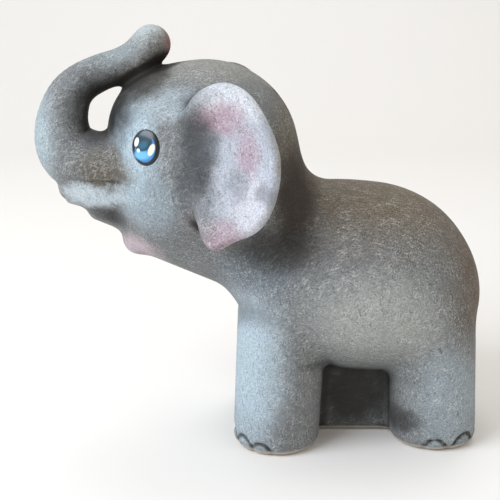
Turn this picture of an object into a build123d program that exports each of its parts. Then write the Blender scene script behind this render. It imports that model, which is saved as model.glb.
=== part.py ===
"""Figural animal coin bank: a slip-cast ceramic elephant standing on a flat base, its trunk
curled up and back to the forehead.  The hollow casting holds the coins; the trunk, the two
ears and the eyes are put on it; a soft stopper closes the hole under the hind feet.

Frame: millimetres, +Z up, the head toward -X, the animal's left side toward -Y.
Origin: middle of the flat base, in the plane that it stands on.
"""
import os
from math import cos, radians, sin

from build123d import *

# ---- casting ------------------------------------------------------------------------------
WALL = 5.0                      # thickness of the slip-cast wall
FLOOR = 5.0                     # thickness of the floor under the feet

# belly: a long spheroid, its front end raised; x, z, half length, radius, pitch
BELLY = (5.0, 80.0, 52.5, 43.5, 3.0)

# spheroids turned about the line across the body: x, z, radius, half width
RUMP = (29.0, 66.0, 30.6, 35.0)
SHOULDERS = (-22.0, 83.0, 38.0, 38.0)
CRANIUM = (-70.0, 137.0, 43.5, 40.0)
BROW = (-88.5, 149.5, 26.5, 30.0)
CHEEKS = (-80.0, 123.0, 33.0, 36.0)
CHIN = (-103.0, 95.0, 6.4, 11.0)
ROUND_FORMS = (RUMP, SHOULDERS, CRANIUM, BROW, CHEEKS)

# neck: a frustum from inside the shoulders to inside the cranium; x, z, radius at each end
NECK = ((-32.0, 92.0, 28.0), (-60.0, 128.0, 33.0))

# spheroids that point forward and up: x, z, half length, radius, pitch
THROAT = (-69.0, 105.0, 44.0, 26.5, 20.0)
JAW = (-112.0, 108.5, 21.0, 10.5, 24.0)

# lip: a flat rounded slab under the trunk
LIP_X, LIP_FRONT_RADIUS, LIP_BACK_X = -122.0, 14.5, -98.0
LIP_Z, LIP_THICKNESS, LIP_EDGE = 119.4, 14.8, 6.8

# legs: x, y, half length and half width of the oval at the sole, above the knee and in the belly
KNEE_Z, HIP_Z = 44.0, 90.0
HIND_LEG = ((39.5, 16.0, 20.8, 18.5), (37.0, 17.5, 20.3, 19.5), (33.0, 10.0, 13.0, 11.0))
FORE_LEG = ((-37.0, 20.0, 20.5, 20.0), (-35.5, 19.0, 20.8, 20.0), (-30.0, 11.0, 13.0, 12.0))
SOLE_EDGE = 3.5

# clay between the legs: x centre, half length, half width (all rise into the belly)
INFILLS = ((36.0, 18.0, 14.0), (-36.0, 17.0, 16.0), (0.0, 36.0, 12.0))
INFILL_TOP_Z, INFILL_CORNER = 55.0, 6.0

# ---- coin slot, in the nape, and emptying hole, under the hind feet ---------------------------
SLOT_Z, SLOT_LENGTH, SLOT_WIDTH = 149.0, 36.0, 5.2
SLOT_INNER_X, SLOT_REACH = -52.0, 40.0      # from inside the head out through the nape
HOLE_X, HOLE_RADIUS = 33.5, 13.5
RECESS_RADIUS, RECESS_DEPTH = 16.5, 4.0
BOSS_RADIUS, BOSS_TOP_Z = 18.5, 9.5
HOLE_TOP_Z = BOSS_TOP_Z + 6     # the cut runs on into the hollow above the boss

# ---- trunk: x, z, radius of the round section, from the root to the tip -----------------------
TRUNK = (
    (-108.0, 129.0, 17.0),
    (-123.0, 131.0, 16.0),
    (-133.2, 138.0, 14.0),
    (-136.8, 150.0, 12.2),
    (-133.6, 162.2, 10.2),
    (-127.2, 169.6, 9.0),
    (-117.5, 174.7, 8.3),
    (-108.5, 177.6, 8.2),
    (-101.0, 181.6, 8.2),
    (-94.3, 187.4, 8.8),
)
TRUNK_PAD = (-93.0, 180.5, 6.8)  # clay that seats the tip on the forehead

# ---- ears: a dished plate on each side of the head -------------------------------------------
EAR_CENTRE = (-62.0, -38.5, 140.0)
EAR_YAW = 16.0                  # the hind edge stands away from the neck
EAR_THICKNESS = 5.6
EAR_DISH = 85.0                 # radius of the dish
EAR_RIM = 2.2                   # rounding of the rim
EAR_REACH = 24.0                # how far the outline is drawn out before it is dished
EAR_OUTLINE = (                 # back and up from the ear's centre
    (-17.0, 15.0), (-14.0, 25.4), (-8.0, 32.0), (2.1, 35.2), (12.8, 31.3), (21.5, 21.0),
    (27.0, 7.5), (27.5, -5.5), (24.3, -18.5), (18.0, -27.5), (8.2, -32.5), (0.3, -36.8),
    (-5.6, -33.8), (-9.5, -25.0), (-9.5, -15.0), (-14.0, -3.0),
)

# ---- eyes: thin enamel domes on the side of the cranium --------------------------------------
EYE_X, EYE_Z = -94.8, 146.0
EYE_HALF_WIDTH, EYE_HALF_HEIGHT, EYE_TILT = 6.3, 7.9, 10.0
EYE_THICKNESS = 0.8
EYE_INNER_Y, EYE_REACH = 15.0, 30.0         # the oval is drawn out through the head's skin

# ---- stopper: soft plug with a flange, a hollow middle and a pull tab across it ---------------
FLANGE_RADIUS, FLANGE_Z0, FLANGE_Z1 = 15.7, 0.8, 3.6
NECK_RADIUS = 12.8
BEAD_RADIUS, BEAD_Z0, BEAD_Z1 = 13.2, 11.5, 14.5
BEAD_STEP, BEAD_LEAD = 0.4, 1.5             # slopes under and over the bead
PLUG_TOP_Z = 16.0
WELL_RADIUS, WELL_TOP_Z, WELL_CORNER = 9.5, 12.5, 1.0
HINGE_X = HOLE_X - 9.4          # hinge line of the pull tab, across the body
HINGE_Z = 1.8
HINGE_RADIUS, HINGE_GROOVE_RADIUS, HINGE_END_GAP = 0.8, 1.1, 0.4
POCKET_LENGTH = 3.0             # room beside the groove for the tab, as far as the well
TAB_LENGTH, TAB_HALF_WIDTH, TAB_HALF_THICKNESS = 16.0, 5.0, 0.7


def half_ellipse(plane, along, across):
    """Upper half of an ellipse in the given plane, its long edge on the plane's x axis."""
    turns = [radians(15 * step) for step in range(13)]
    with BuildSketch(plane) as profile:
        with BuildLine():
            Spline(*[(-along * cos(t), across * sin(t)) for t in turns],
                   tangents=((0, 1), (0, -1)))
            Line((along, 0), (-along, 0))
        make_face()
    return profile.sketch


def lengthwise_plane(x, z, pitch):
    """Plane through a point of the centre plane, its x axis forward and raised by pitch."""
    direction = (-cos(radians(pitch)), 0, sin(radians(pitch)))
    return Plane(origin=(x, 0, z), x_dir=direction, z_dir=(0, 1, 0))


def spheroid(form, shrink=0.0, mode=Mode.ADD):
    """Spheroid that is round in side view and narrower across, joined to the current part."""
    x, z, radius, half_width = form
    sizes = (radius - shrink, half_width - shrink, radius - shrink)
    ball = scale(Sphere(1, mode=Mode.PRIVATE), by=sizes, mode=Mode.PRIVATE)
    add(Pos(x, 0, z) * ball, mode=mode)


def long_spheroid(form, shrink=0.0, mode=Mode.ADD):
    """Spheroid turned about a line of the centre plane, joined to the current part."""
    x, z, half_length, radius, pitch = form
    plane = lengthwise_plane(x, z, pitch)
    profile = half_ellipse(plane, half_length - shrink, radius - shrink)
    revolve(profile, axis=Axis(plane.origin, plane.x_dir), mode=mode)


def frustum(ends, shrink=0.0, mode=Mode.ADD):
    """Cone cut off at both ends, joined to the current part."""
    (x0, z0, r0), (x1, z1, r1) = ends
    base_plane = Plane(origin=(x0, 0, z0), x_dir=(0, 1, 0), z_dir=(x1 - x0, 0, z1 - z0))
    with BuildSketch(base_plane) as base:
        Circle(r0 - shrink)
    with BuildSketch(base_plane.offset(Vector(x1 - x0, 0, z1 - z0).length)) as end:
        Circle(r1 - shrink)
    loft([base.sketch, end.sketch], mode=mode)


def leg(ovals, side, sole_z, shrink=0.0, mode=Mode.ADD):
    """One leg: a smooth loft from the oval sole up to an oval inside the belly."""
    sections = []
    for (x, y, half_length, half_width), z in zip(ovals, (sole_z, KNEE_Z, HIP_Z)):
        with BuildSketch(Plane.XY.offset(z)) as oval:
            with Locations((x, side * y)):
                Ellipse(half_length - shrink, half_width - shrink)
        sections.append(oval.sketch)
    loft(sections, mode=mode)


# ---- outer skin of the casting ----------------------------------------------------------------
with BuildPart() as skin:
    long_spheroid(BELLY)
    for form in ROUND_FORMS:
        spheroid(form)
    frustum(NECK)
    long_spheroid(THROAT)
    spheroid(CHIN)
    long_spheroid(JAW)
    for ovals in (HIND_LEG, FORE_LEG):
        for side in (-1, 1):
            leg(ovals, side, 0)
    for x, half_length, half_width in INFILLS:
        with BuildSketch() as infill:
            with Locations((x, 0)):
                RectangleRounded(2 * half_length, 2 * half_width, INFILL_CORNER)
        extrude(amount=INFILL_TOP_Z)

with BuildPart() as lip:
    with BuildSketch(Plane.XY.offset(LIP_Z - LIP_THICKNESS / 2)):
        with Locations((LIP_X, 0)):
            Circle(LIP_FRONT_RADIUS)
            Rectangle(LIP_BACK_X - LIP_X, 2 * LIP_FRONT_RADIUS, align=(Align.MIN, Align.CENTER))
    extrude(amount=LIP_THICKNESS)
    rims = lip.faces().filter_by(Axis.Z).edges()
    fillet(rims, LIP_EDGE)

# ---- body casting: the skin, hollowed to an even wall, with its slot and its hole ----------------
with BuildPart() as closed_casting:
    add(skin.part)
    add(lip.part)
    soles = closed_casting.faces().filter_by(Axis.Z).sort_by(Axis.Z)[0].edges()
    fillet(soles, SOLE_EDGE)
outer_skin = closed_casting.part

with BuildPart() as body_casting:
    add(outer_skin)
    long_spheroid(BELLY, shrink=WALL, mode=Mode.SUBTRACT)
    for form in ROUND_FORMS:
        spheroid(form, shrink=WALL, mode=Mode.SUBTRACT)
    frustum(NECK, shrink=WALL, mode=Mode.SUBTRACT)
    long_spheroid(THROAT, shrink=WALL, mode=Mode.SUBTRACT)
    for ovals in (HIND_LEG, FORE_LEG):
        for side in (-1, 1):
            leg(ovals, side, FLOOR, shrink=WALL, mode=Mode.SUBTRACT)
    for x, half_length, half_width in INFILLS:
        with BuildSketch(Plane.XY.offset(FLOOR)) as hollow:
            with Locations((x, 0)):
                Rectangle(2 * (half_length - WALL), 2 * (half_width - WALL))
        extrude(amount=INFILL_TOP_Z - FLOOR, mode=Mode.SUBTRACT)
    # the ring of clay round the emptying hole, then the hole and the recess for the flange
    with BuildSketch(Plane.XY.offset(RECESS_DEPTH)):
        with Locations((HOLE_X, 0)):
            Circle(BOSS_RADIUS)
    extrude(amount=BOSS_TOP_Z - RECESS_DEPTH)
    with BuildSketch():
        with Locations((HOLE_X, 0)):
            Circle(HOLE_RADIUS)
    extrude(amount=HOLE_TOP_Z, mode=Mode.SUBTRACT)
    with BuildSketch():
        with Locations((HOLE_X, 0)):
            Circle(RECESS_RADIUS)
    extrude(amount=RECESS_DEPTH, mode=Mode.SUBTRACT)
    # the coin slot, straight in from behind the head
    with BuildSketch(Plane.YZ.offset(SLOT_INNER_X)):
        with Locations((0, SLOT_Z)):
            SlotOverall(SLOT_LENGTH, SLOT_WIDTH, rotation=90)
    extrude(amount=SLOT_REACH, mode=Mode.SUBTRACT)

# ---- trunk --------------------------------------------------------------------------------------
with BuildPart() as trunk:
    with BuildLine() as centreline:
        Spline(*[(x, 0, z) for x, z, r in TRUNK])
    path = centreline.edges()[0]
    for x, z, r in TRUNK:
        t = path.param_at_point(Vector(x, 0, z))
        with BuildSketch(Plane(origin=path @ t, x_dir=(0, 1, 0), z_dir=path % t)):
            Circle(r)
    loft()
    x, z, r = TRUNK[-1]
    with Locations((x, 0, z)):
        Sphere(r)
    x, z, r = TRUNK_PAD
    with Locations((x, 0, z)):
        Sphere(r)
    add(outer_skin, mode=Mode.SUBTRACT)

# ---- ears ---------------------------------------------------------------------------------------
u_dir = Vector(cos(radians(EAR_YAW)), -sin(radians(EAR_YAW)), 0)
w_dir = Vector(-sin(radians(EAR_YAW)), -cos(radians(EAR_YAW)), 0)
ear_plane = Plane(origin=EAR_CENTRE, x_dir=u_dir, z_dir=w_dir)
dish_centre = ear_plane.offset(EAR_DISH).origin

with BuildPart() as ear_left:
    with BuildSketch(ear_plane):
        with BuildLine():
            Spline(*EAR_OUTLINE, periodic=True)
        make_face()
    extrude(amount=EAR_REACH, both=True)
    with Locations(dish_centre):
        Sphere(EAR_DISH + EAR_THICKNESS / 2, mode=Mode.INTERSECT)
        Sphere(EAR_DISH - EAR_THICKNESS / 2, mode=Mode.SUBTRACT)
    rim = ear_left.edges().filter_by(GeomType.LINE, reverse=True)
    fillet(rim, EAR_RIM)
    spheroid(CRANIUM, mode=Mode.SUBTRACT)

with BuildPart() as ear_right:
    mirror(ear_left.part, about=Plane.XZ)

# ---- eyes ---------------------------------------------------------------------------------------
with BuildPart() as eye_left:
    with BuildSketch(Plane.XZ.offset(EYE_INNER_Y)):
        with Locations((EYE_X, EYE_Z)):
            Ellipse(EYE_HALF_WIDTH, EYE_HALF_HEIGHT, rotation=-EYE_TILT)
    extrude(amount=EYE_REACH)
    spheroid(CRANIUM, shrink=-EYE_THICKNESS, mode=Mode.INTERSECT)
    spheroid(CRANIUM, mode=Mode.SUBTRACT)
    spheroid(BROW, mode=Mode.SUBTRACT)

with BuildPart() as eye_right:
    mirror(eye_left.part, about=Plane.XZ)

# ---- stopper ------------------------------------------------------------------------------------
with BuildPart() as stopper_plug:
    with BuildSketch(Plane.XZ.shift_origin((HOLE_X, 0, 0))) as section:
        with BuildLine():
            Polyline(
                (0, WELL_TOP_Z), (WELL_RADIUS - WELL_CORNER, WELL_TOP_Z),
                (WELL_RADIUS, WELL_TOP_Z - WELL_CORNER),
                (WELL_RADIUS, FLANGE_Z0), (FLANGE_RADIUS, FLANGE_Z0), (FLANGE_RADIUS, FLANGE_Z1),
                (NECK_RADIUS, FLANGE_Z1), (NECK_RADIUS, BEAD_Z0 - BEAD_STEP),
                (BEAD_RADIUS, BEAD_Z0), (BEAD_RADIUS, BEAD_Z1), (BEAD_RADIUS - BEAD_LEAD, PLUG_TOP_Z),
                (0, PLUG_TOP_Z), close=True)
        make_face()
    revolve(axis=Axis((HOLE_X, 0, 0), (0, 0, 1)))
    # groove for the root of the pull tab, and the pocket that the tab's root turns in
    with BuildSketch(Plane.XZ):
        with Locations((HINGE_X, HINGE_Z)):
            Circle(HINGE_GROOVE_RADIUS)
        with Locations((HINGE_X, 0)):
            Rectangle(2 * HINGE_GROOVE_RADIUS, HINGE_Z, align=(Align.CENTER, Align.MIN))
            Rectangle(POCKET_LENGTH, HINGE_Z + HINGE_GROOVE_RADIUS, align=(Align.MIN, Align.MIN))
    extrude(amount=TAB_HALF_WIDTH + HINGE_END_GAP, both=True, mode=Mode.SUBTRACT)

with BuildPart() as stopper_pull_tab:
    with BuildSketch(Plane.XY.offset(HINGE_Z - TAB_HALF_THICKNESS)):
        with Locations((HINGE_X, 0)):
            Rectangle(TAB_LENGTH - TAB_HALF_WIDTH, 2 * TAB_HALF_WIDTH, align=(Align.MIN, Align.CENTER))
        with Locations((HINGE_X + TAB_LENGTH - TAB_HALF_WIDTH, 0)):
            Circle(TAB_HALF_WIDTH)
    extrude(amount=2 * TAB_HALF_THICKNESS)
    with BuildSketch(Plane.XZ):
        with Locations((HINGE_X, HINGE_Z)):
            Circle(HINGE_RADIUS)
    extrude(amount=TAB_HALF_WIDTH, both=True)

# ---- export -------------------------------------------------------------------------------------
os.makedirs("parts", exist_ok=True)

body_casting.part.label = "body_casting"
export_step(body_casting.part, "parts/body_casting.step")

trunk.part.label = "trunk"
export_step(trunk.part, "parts/trunk.step")

ear_left.part.label = "ear_left"
export_step(ear_left.part, "parts/ear_left.step")

ear_right.part.label = "ear_right"
export_step(ear_right.part, "parts/ear_right.step")

eye_left.part.label = "eye_left"
export_step(eye_left.part, "parts/eye_left.step")

eye_right.part.label = "eye_right"
export_step(eye_right.part, "parts/eye_right.step")

stopper_plug.part.label = "stopper_plug"
export_step(stopper_plug.part, "parts/stopper_plug.step")

stopper_pull_tab.part.label = "stopper_pull_tab"
export_step(stopper_pull_tab.part, "parts/stopper_pull_tab.step")
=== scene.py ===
"""Visual model of a ceramic elephant money box: a hollow slip casting with its trunk, ears and
eyes put on, cold-painted and dry-brushed, and a soft stopper with a pull tab under the hind feet.

The CAD frame gives the places and the bodies.  Lengths inside the shape functions are in
millimetres, as a potter would state them; MM turns them to metres when a mesh is made.
"""
import math

import bpy
import numpy as np
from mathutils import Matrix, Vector


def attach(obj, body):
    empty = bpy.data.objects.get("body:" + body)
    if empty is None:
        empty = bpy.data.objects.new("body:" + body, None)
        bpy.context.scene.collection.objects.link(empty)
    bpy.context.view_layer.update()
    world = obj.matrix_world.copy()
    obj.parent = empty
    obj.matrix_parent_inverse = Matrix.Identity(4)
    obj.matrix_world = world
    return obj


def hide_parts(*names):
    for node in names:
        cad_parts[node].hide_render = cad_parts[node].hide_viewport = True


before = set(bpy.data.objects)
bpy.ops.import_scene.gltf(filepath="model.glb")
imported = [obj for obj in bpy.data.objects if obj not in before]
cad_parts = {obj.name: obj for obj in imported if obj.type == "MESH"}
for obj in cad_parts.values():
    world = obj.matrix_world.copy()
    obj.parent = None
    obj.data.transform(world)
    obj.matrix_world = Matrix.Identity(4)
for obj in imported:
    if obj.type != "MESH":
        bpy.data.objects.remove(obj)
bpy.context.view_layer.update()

bl_info = {
    "name": "Elephant money box",
    "version": (1, 0, 0),
    "blender": (4, 5, 0),
    "location": "View3D > Sidebar > Money box",
    "description": "Builds a painted ceramic elephant money box with its stopper",
    "category": "Add Mesh",
}

MM = 0.001

# ---- shape of the animal, in millimetres ----------------------------------------------------
# spheroids that are round in side view: x, z, radius, half width
RUMP = (29.0, 66.0, 30.2, 35.0)
SHOULDERS = (-22.0, 83.0, 38.0, 38.0)
CRANIUM = (-70.0, 137.0, 43.5, 40.0)
BROW = (-88.5, 149.5, 25.8, 30.0)
CHEEKS = (-80.0, 123.0, 33.0, 36.0)
CHIN = (-103.0, 96.2, 6.8, 11.0)

# belly: x, z, half length, half width, half height, pitch in degrees
BELLY = (5.0, 77.4, 52.5, 44.0, 45.6, 3.0)

# cones with a ball at each end: x, z, radius, then the same for the other end, then a widening
NECK = (-32.0, 92.0, 28.0, -60.0, 128.0, 33.0, 1.0)
THROAT = (-86.0, 111.0, 25.0, -50.0, 98.0, 27.0, 1.05)
LIP = (-133.4, 120.8, 6.3, -104.0, 119.0, 6.8, 1.0)
JAW = (-119.5, 112.4, 7.0, -101.0, 107.0, 9.0, 1.9)

# legs: x, y, half length, half width at the sole, the same at the hip, height of the hip
HIND_LEG = (39.5, 16.0, 20.8, 18.5, 36.0, 18.0, 20.0, 21.0, 72.0)
FORE_LEG = (-37.0, 20.0, 20.5, 20.0, -34.0, 18.0, 21.0, 20.0, 72.0)

# clay between the legs: x, half length, half width, rounding
INFILLS = ((36.0, 18.0, 14.0, 8.0), (-36.0, 17.0, 16.0, 8.0), (0.0, 36.0, 12.0, 6.0))

# trunk: x, z, radius, widening, from the root to the tip
TRUNK = np.array([
    (-108.0, 131.5, 17.0, 1.22),
    (-122.5, 131.5, 16.0, 1.14),
    (-134.0, 138.6, 14.3, 1.06),
    (-136.6, 150.0, 12.3, 1.00),
    (-133.4, 162.2, 10.3, 1.00),
    (-127.2, 169.6, 9.0, 1.00),
    (-117.5, 174.7, 8.3, 1.00),
    (-108.5, 177.6, 8.2, 1.00),
    (-101.0, 181.6, 8.2, 1.00),
    (-94.3, 187.4, 8.8, 1.00),
])

# ears: outline back and up from the middle of the ear
EAR_MIDDLE = (-62.0, 38.5, 140.0)
EAR_YAW = 16.0
EAR_HALF_THICKNESS = 2.8
EAR_DISH = 85.0
EAR_OUTLINE = np.array([
    (-17.0, 15.0), (-14.0, 25.4), (-8.0, 32.0), (2.1, 35.2), (12.8, 31.3), (21.5, 21.0),
    (27.0, 7.5), (27.5, -5.5), (24.3, -18.5), (18.0, -27.5), (8.2, -32.5), (0.3, -36.8),
    (-5.6, -33.8), (-9.5, -25.0), (-9.5, -15.0), (-14.0, -3.0),
])

# toenails: small arches pressed into the front of each foot; x, y, half width, height, turn
NAILS = (
    (51.0, 29.0, 5.6, 7.0, 35.0), (38.0, 34.6, 5.0, 5.6, 90.0), (60.0, 17.0, 5.4, 7.0, 5.0),
    (-45.0, 38.6, 4.8, 5.2, 112.0), (-53.5, 32.0, 5.4, 6.6, 142.0), (-57.4, 21.5, 5.2, 6.8, 172.0),
)

NAIL_DEPTH, NAIL_LINE = 1.1, 1.0

# flat middle of the lip, and the line of the mouth over it
LIP_FLAT, LIP_BEND_X, LIP_BEND_LENGTH = 12.0, -110.0, 26.0
MOUTH_X, MOUTH_Z, MOUTH_HALF_LENGTH, MOUTH_DEPTH = -120.0, 127.4, 17.0, 0.6

# casting wall, coin slot in the nape, emptying hole under the hind feet
WALL = 5.0
SLOT_Z, SLOT_HALF_LENGTH, SLOT_HALF_WIDTH = 149.0, 18.0, 2.6
SLOT_X, SLOT_REACH = -32.0, 20.0
HOLE_X, HOLE_RADIUS, RECESS_RADIUS, RECESS_DEPTH = 33.5, 13.5, 16.5, 4.0
BOSS_RADIUS, BOSS_TOP = 18.5, 9.5

# eyes: tilted ovals on the side of the cranium
EYE_X, EYE_Z = -94.8, 146.0
EYE_HALF_WIDTH, EYE_HALF_HEIGHT, EYE_TILT = 6.3, 7.9, 10.0
EYE_DOME = 0.7

# stopper and its pull tab
FLANGE_RADIUS, FLANGE_Z0, FLANGE_Z1 = 15.7, 0.8, 3.6
PLUG_NECK_RADIUS, BEAD_RADIUS, BEAD_Z0, BEAD_Z1, PLUG_TOP = 12.8, 13.2, 11.5, 14.5, 16.0
WELL_RADIUS, WELL_TOP = 9.5, 12.5
HINGE_X, HINGE_Z, HINGE_RADIUS, GROOVE_RADIUS = HOLE_X - 9.4, 1.8, 0.8, 1.1
TAB_LENGTH, TAB_HALF_WIDTH, TAB_HALF_THICKNESS = 16.0, 5.0, 0.7

# ---- stage, in metres ---------------------------------------------------------------------------
CAMERA_TARGET, CAMERA_DISTANCE = (-0.0495, 0.0, 0.090), 0.500
CAMERA_PITCH, CAMERA_ANGLE = 16.5, 27.0
LIGHT_AIM = (-0.04, 0.0, 0.09)
LIGHTS = (
    ("window", (-0.80, -0.50, 0.75), 0.7, 12.0, "#EEF5FF"),
    ("room_right", (0.9, -0.7, 0.5), 0.8, 1.2, "#FFE9CF"),
    ("room_top", (0.1, 0.5, 1.2), 0.8, 4.0, "#FFFFFF"),
)


# ---- fields: each gives about the distance to a form, negative inside it ----------------------
def join(a, b, blend):
    """Smaller of two fields, rounded where they are within blend of each other."""
    near = np.maximum(blend - np.abs(a - b), 0.0) / blend
    return np.minimum(a, b) - near * near * blend * 0.25


def cut(a, b, blend):
    """Larger of two fields, rounded in the same way: what is inside both."""
    return -join(-a, -b, blend)


def ellipsoid(p, centre, radii, pitch=0.0):
    """Scaled distance from the centre, less one, over its own steepness."""
    x, y, z = p[:, 0] - centre[0], p[:, 1] - centre[1], p[:, 2] - centre[2]
    turn = math.radians(pitch)
    x, z = math.cos(turn) * x - math.sin(turn) * z, math.sin(turn) * x + math.cos(turn) * z
    k0 = np.sqrt((x / radii[0]) ** 2 + (y / radii[1]) ** 2 + (z / radii[2]) ** 2) + 1e-9
    k1 = np.sqrt((x / radii[0] ** 2) ** 2 + (y / radii[1] ** 2) ** 2 + (z / radii[2] ** 2) ** 2) + 1e-9
    return k0 * (k0 - 1.0) / k1


def spheroid(p, form):
    """Ellipsoid that is round in side view."""
    x, z, radius, half_width = form
    return ellipsoid(p, (x, 0.0, z), (radius, half_width, radius))


def ball_cone(p, form):
    """Distance to the nearest point of a line, less a radius that changes along it."""
    x0, z0, r0, x1, z1, r1, widening = form
    dx, dz = x1 - x0, z1 - z0
    along = np.clip(((p[:, 0] - x0) * dx + (p[:, 2] - z0) * dz) / (dx * dx + dz * dz), 0.0, 1.0)
    off_x, off_z = p[:, 0] - x0 - along * dx, p[:, 2] - z0 - along * dz
    return np.sqrt(off_x ** 2 + off_z ** 2 + (p[:, 1] / widening) ** 2) - (r0 + (r1 - r0) * along)


def oval_column(p, form):
    """Oval upright whose centre and half axes change evenly from the sole to the hip."""
    x0, y0, a0, b0, x1, y1, a1, b1, hip = form
    rise = np.clip(p[:, 2] / hip, 0.0, 1.0)
    a, b = a0 + (a1 - a0) * rise, b0 + (b1 - b0) * rise
    dx, dy = (p[:, 0] - x0 - (x1 - x0) * rise) / a, (p[:, 1] - y0 - (y1 - y0) * rise) / b
    return cut((np.sqrt(dx * dx + dy * dy) - 1.0) * np.minimum(a, b), p[:, 2] - hip, 20.0)


def rounded_block(p, centre, half, rounding):
    """Distance to a box with its edges and corners rounded."""
    q = np.abs(p - np.array(centre)) - (np.array(half) - rounding)
    return np.linalg.norm(np.maximum(q, 0.0), axis=1) + np.minimum(q.max(axis=1), 0.0) - rounding


def through_points(knots, steps, closed=False):
    """Smooth curve through the knots (Catmull-Rom), as steps points for each span."""
    if closed:
        ends = np.vstack([knots[-1:], knots, knots[:2]])
    else:
        ends = np.vstack([2 * knots[:1] - knots[1:2], knots, 2 * knots[-1:] - knots[-2:-1]])
    t = np.linspace(0.0, 1.0, steps, endpoint=False)[None, :, None]
    a, b, c, d = (ends[i:len(ends) - 3 + i, None, :] for i in range(4))
    curve = 0.5 * (2 * b + (c - a) * t + (2 * a - 5 * b + 4 * c - d) * t ** 2
                   + (3 * b - a - 3 * c + d) * t ** 3).reshape(-1, knots.shape[1])
    return curve if closed else np.vstack([curve, knots[-1:]])


TRUNK_LINE = through_points(TRUNK, 4)


def trunk_tube(p):
    """Smallest of the ball cones between neighbouring points of the trunk's line."""
    distance = np.full(len(p), 60.0)
    near = p[:, 0] < -60.0
    q = p[near]
    best = np.full(len(q), 60.0)
    for a, b in zip(TRUNK_LINE[:-1], TRUNK_LINE[1:]):
        best = np.minimum(best, ball_cone(q, (a[0], a[1], a[2], b[0], b[1], b[2], 0.5 * (a[3] + b[3]))))
    distance[near] = best
    return distance


def outline_distance(u, v, outline):
    """Distance to a closed outline, negative inside, by its straight steps."""
    best = np.full(u.shape, 1e9)
    inside = np.zeros(u.shape, bool)
    for (ax, ay), (bx, by) in zip(outline, np.roll(outline, -1, axis=0)):
        ex, ey, wx, wy = bx - ax, by - ay, u - ax, v - ay
        t = np.clip((wx * ex + wy * ey) / (ex * ex + ey * ey), 0.0, 1.0)
        best = np.minimum(best, (wx - ex * t) ** 2 + (wy - ey * t) ** 2)
        if ay != by:
            inside ^= ((ay > v) != (by > v)) & (wx < ex * wy / ey)
    return np.where(inside, -1.0, 1.0) * np.sqrt(best)


EAR_LINE = through_points(EAR_OUTLINE, 4, closed=True)


def ear_axes(p):
    """Back, up and outward distances from the middle of an ear, for points with y made positive."""
    yaw = math.radians(EAR_YAW)
    x, y, v = p[:, 0] - EAR_MIDDLE[0], p[:, 1] - EAR_MIDDLE[1], p[:, 2] - EAR_MIDDLE[2]
    return math.cos(yaw) * x + math.sin(yaw) * y, v, -math.sin(yaw) * x + math.cos(yaw) * y


def ear_plate(p):
    """A plate on a shallow bowl, with its top and front sunk toward the head and its rim rolled.

    Its middle lies (u^2 + v^2) / (2 dish) out, less the squares of what u and v pass a line by,
    less a bell-shaped valley and plus a bell-shaped lobe.
    """
    distance = np.full(len(p), 60.0)
    near = (p[:, 1] > 15.0) & (p[:, 0] > -100.0) & (p[:, 0] < -15.0) & (p[:, 2] > 85.0)
    u, v, w = ear_axes(p[near])
    edge = outline_distance(u, v, EAR_LINE)
    bowl = (u * u + v * v) / (2 * EAR_DISH)
    tuck = np.clip(v - 14.0, 0.0, None) ** 2 / 62.0 + np.clip(-8.0 - u, 0.0, None) ** 2 / 34.0
    valley = 2.2 * np.exp(-((u + 6.0) / 7.0) ** 2 - ((v - 4.0) / 16.0) ** 2)
    lobe = 1.2 * np.exp(-((u - 2.0) / 8.0) ** 2 - ((v + 24.0) / 9.0) ** 2)
    roll = 1.1 * np.exp(-((edge + 3.0) / 2.6) ** 2) * np.clip((u + 16.0) / 10.0, 0.0, 1.0)
    thickness = EAR_HALF_THICKNESS + roll
    off = w - (bowl - tuck - valley + lobe)
    distance[near] = np.sqrt(np.maximum(edge + thickness, 0.0) ** 2 + off ** 2) - thickness
    return distance


def nail_furrows(p):
    """Depth of the furrows round the toenails: half ovals standing on the edge of each foot."""
    depth = np.zeros(len(p))
    low = p[:, 2] < 14.0
    q = p[low]
    deepest = np.zeros(len(q))
    for x, y, half_width, height, turn in NAILS:
        c, s = math.cos(math.radians(turn)), math.sin(math.radians(turn))
        across = -(q[:, 0] - x) * s + (q[:, 1] - y) * c
        outward = (q[:, 0] - x) * c + (q[:, 1] - y) * s
        ring = np.sqrt((across / half_width) ** 2 + ((q[:, 2] - 1.0) / height) ** 2) - 1.0
        ring *= min(half_width, height)
        deepest = np.maximum(deepest, np.exp(-(ring / NAIL_LINE) ** 2 - (outward / 6.0) ** 2))
    depth[low] = deepest
    return depth


def mouth_line(p):
    """Depth of the line pressed between the trunk's root and the lip, which rises at its ends."""
    x, z = p[:, 0] - MOUTH_X, p[:, 2] - MOUTH_Z
    line = z - 0.004 * x ** 2
    ends = np.clip(1.2 - np.abs(x) / MOUTH_HALF_LENGTH, 0.0, 0.2) * 5.0
    return np.exp(-(line / 1.3) ** 2) * ends


def mirrored(p):
    """The same points with y made positive, because both sides are alike."""
    return np.column_stack([p[:, 0], np.abs(p[:, 1]), p[:, 2]])


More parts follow.
